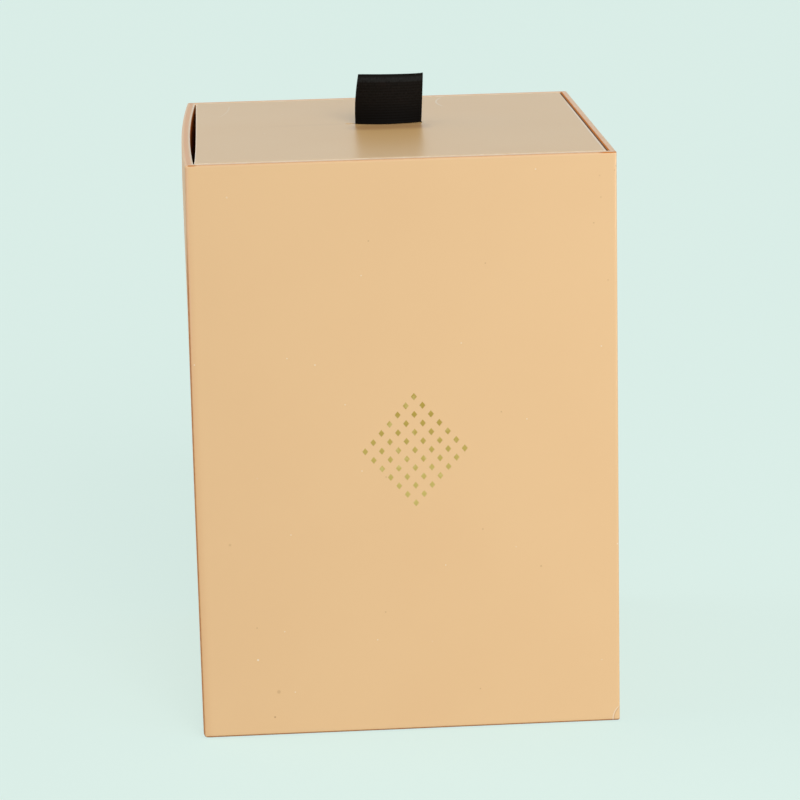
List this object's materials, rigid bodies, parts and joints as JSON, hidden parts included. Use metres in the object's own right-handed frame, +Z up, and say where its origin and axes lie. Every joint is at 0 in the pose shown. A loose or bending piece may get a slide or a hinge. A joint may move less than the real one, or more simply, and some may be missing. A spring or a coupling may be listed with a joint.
{
  "type": "sliding drawer gift box",
  "caption": "Tall rigid gift box whose paper-wrapped drawer slides up out of a board sleeve on a black ribbon pull.",
  "frame": {"origin": "centre of the face that the box stands on", "axes": "+Z up and out of the sleeve's mouth, the way the drawer slides; -Y is the front face; +X to the right of it"},
  "size_m": [0.1542, 0.154, 0.2313],
  "materials": {
    "wrap_paper": "satin",
    "greyboard": "matte",
    "lining_paper": "matte",
    "stay_paper": "matte",
    "patch_paper": "matte",
    "ribbon": "matte"
  },
  "bodies": {
    "sleeve": {"sleeve_front_board": "greyboard", "sleeve_back_board": "greyboard", "sleeve_left_board": "greyboard", "sleeve_right_board": "greyboard", "sleeve_base_board": "greyboard", "sleeve_corner_stays": "stay_paper", "sleeve_wrap": "wrap_paper", "sleeve_lining": "lining_paper", "sleeve_base_lining": "lining_paper", "sleeve_base_sheet": "wrap_paper"},
    "drawer": {"drawer_floor_board": "greyboard", "drawer_front_board": "greyboard", "drawer_rear_board": "greyboard", "drawer_left_board": "greyboard", "drawer_right_board": "greyboard", "drawer_corner_stays": "stay_paper", "drawer_wrap": "wrap_paper", "drawer_wall_lining": "lining_paper", "drawer_floor_lining": "lining_paper", "ribbon_tails": "ribbon", "ribbon_anchor_patch": "patch_paper"},
    "ribbon": {"ribbon_pull": "ribbon"}
  },
  "joints": [
    {"name": "drawer_slide", "type": "slide", "parent": "sleeve", "child": "drawer", "axis": [0, 0, 1], "range_m": [0, 0.213]},
    {"name": "ribbon_fold", "type": "hinge", "parent": "drawer", "child": "ribbon", "pos_m": [0.00085, 0.0082, 0.215], "axis": [1, 0, 0], "range_deg": [-80, 80], "stiffness_Nm_per_rad": 0.001}
  ]
}
